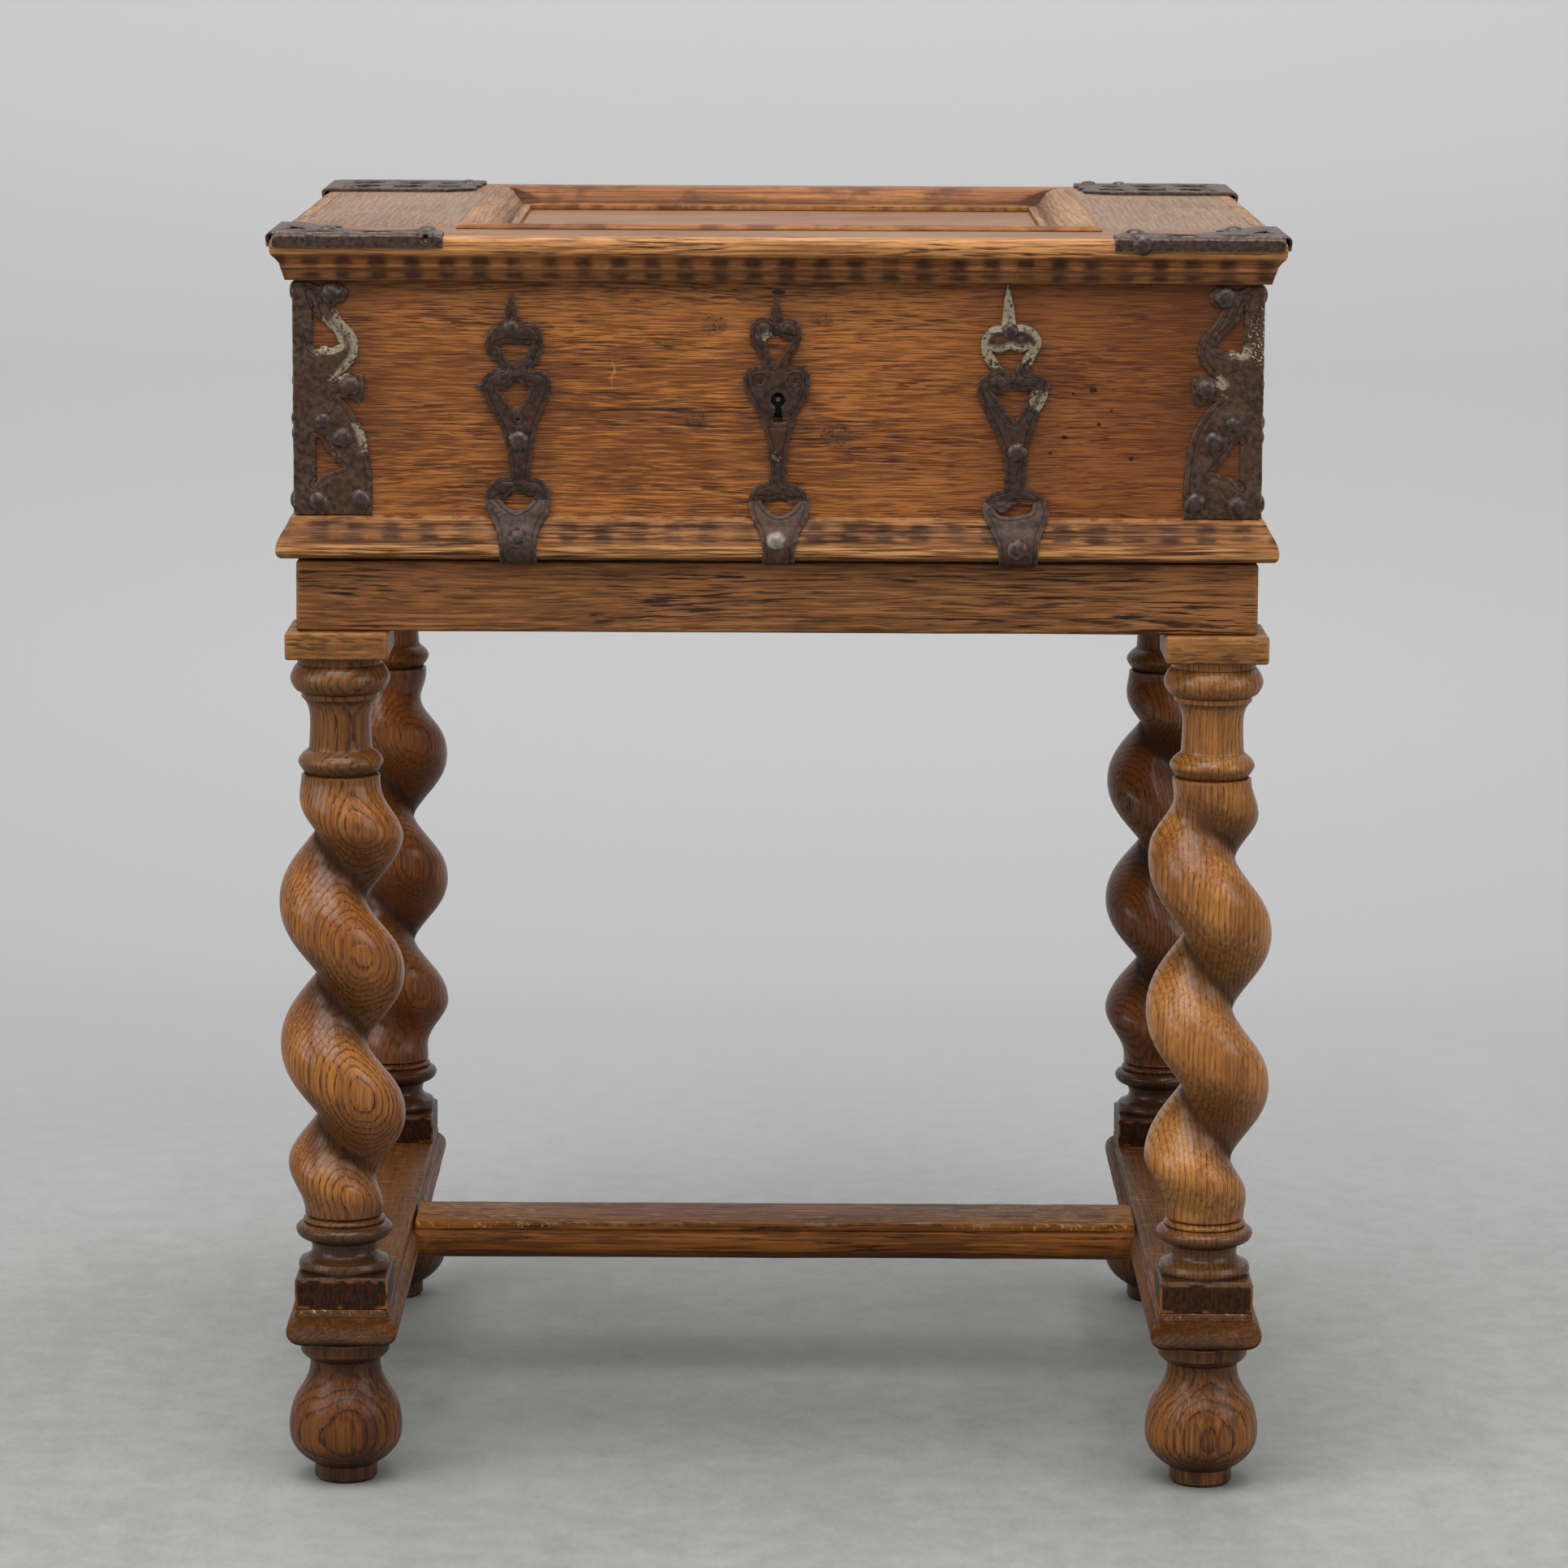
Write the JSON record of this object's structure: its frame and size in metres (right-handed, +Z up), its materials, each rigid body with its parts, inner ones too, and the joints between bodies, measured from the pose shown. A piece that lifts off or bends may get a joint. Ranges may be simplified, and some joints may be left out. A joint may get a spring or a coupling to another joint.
{
  "type": "travel casket on stand",
  "caption": "Oak travel casket with pierced iron mounts, hinged lid with lock and bail handles, standing loose on a joined stand with barley-twist legs, H-stretcher and turned feet.",
  "frame": {"origin": "on the floor under the middle of the whole piece", "axes": "+Z up, the front with the lock faces -Y, +X to the right of someone who looks at the front"},
  "size_m": [0.593, 0.5131, 0.7488],
  "materials": {
    "stand_oak": "waxed oak, worn at the edges",
    "casket_oak": "waxed golden oak",
    "lid_oak": "faded oak",
    "iron": "wrought iron with traces of tinning"
  },
  "bodies": {
    "stand": {"foot_front_left": "stand_oak", "foot_front_right": "stand_oak", "foot_back_left": "stand_oak", "foot_back_right": "stand_oak", "side_stretcher_left": "stand_oak", "side_stretcher_right": "stand_oak", "cross_stretcher": "stand_oak", "leg_front_left": "stand_oak", "leg_front_right": "stand_oak", "leg_back_left": "stand_oak", "leg_back_right": "stand_oak", "cap_front_left": "stand_oak", "cap_front_right": "stand_oak", "cap_back_left": "stand_oak", "cap_back_right": "stand_oak", "frame_rail_front": "stand_oak", "frame_rail_back": "stand_oak", "frame_rail_left": "stand_oak", "frame_rail_right": "stand_oak"},
    "casket": {"wall_front": "casket_oak", "wall_back": "casket_oak", "wall_left": "casket_oak", "wall_right": "casket_oak", "bottom_board": "casket_oak", "base_moulding_front": "casket_oak", "base_moulding_left": "casket_oak", "base_moulding_right": "casket_oak", "strap_left": "iron", "strap_middle": "iron", "strap_right": "iron", "corner_iron_front_left": "iron", "corner_iron_front_right": "iron", "corner_iron_back_left": "iron", "corner_iron_back_right": "iron", "hinge_strap_left": "iron", "hinge_strap_right": "iron", "hinge_pin_left": "iron", "hinge_pin_right": "iron", "lock_case": "iron", "handle_plate_left": "iron", "handle_plate_right": "iron"},
    "lid": {"lid_rail_front": "lid_oak", "lid_rail_back": "lid_oak", "lid_stile_left": "lid_oak", "lid_stile_right": "lid_oak", "lid_panel": "lid_oak", "panel_moulding": "lid_oak", "lid_moulding_front": "lid_oak", "lid_moulding_left": "lid_oak", "lid_moulding_right": "lid_oak", "lid_iron_front_left": "iron", "lid_iron_front_right": "iron", "lid_iron_back_left": "iron", "lid_iron_back_right": "iron", "hinge_leaf_left": "iron", "hinge_leaf_right": "iron", "lock_staple": "iron"},
    "bolt": {"lock_bolt": "iron"},
    "left_handle": {"bail_left": "iron"},
    "right_handle": {"bail_right": "iron"}
  },
  "joints": [
    {"name": "casket_lift", "type": "slide", "parent": "stand", "child": "casket", "axis": [0, 0, 1], "range_m": [0, 0.3]},
    {"name": "lid_hinge", "type": "hinge", "parent": "casket", "child": "lid", "pos_m": [0, 0.2465, 0.71975], "axis": [-1, 0, 0], "range_deg": [0, 100]},
    {"name": "lock_bolt_slide", "type": "slide", "parent": "casket", "child": "bolt", "axis": [1, 0, 0], "range_m": [0, 0.012]},
    {"name": "left_handle_hinge", "type": "hinge", "parent": "casket", "child": "left_handle", "pos_m": [-0.2898, 0, 0.6409], "axis": [0, 1, 0], "range_deg": [-5, 175]},
    {"name": "right_handle_hinge", "type": "hinge", "parent": "casket", "child": "right_handle", "pos_m": [0.2898, 0, 0.6409], "axis": [0, -1, 0], "range_deg": [-5, 175]}
  ]
}
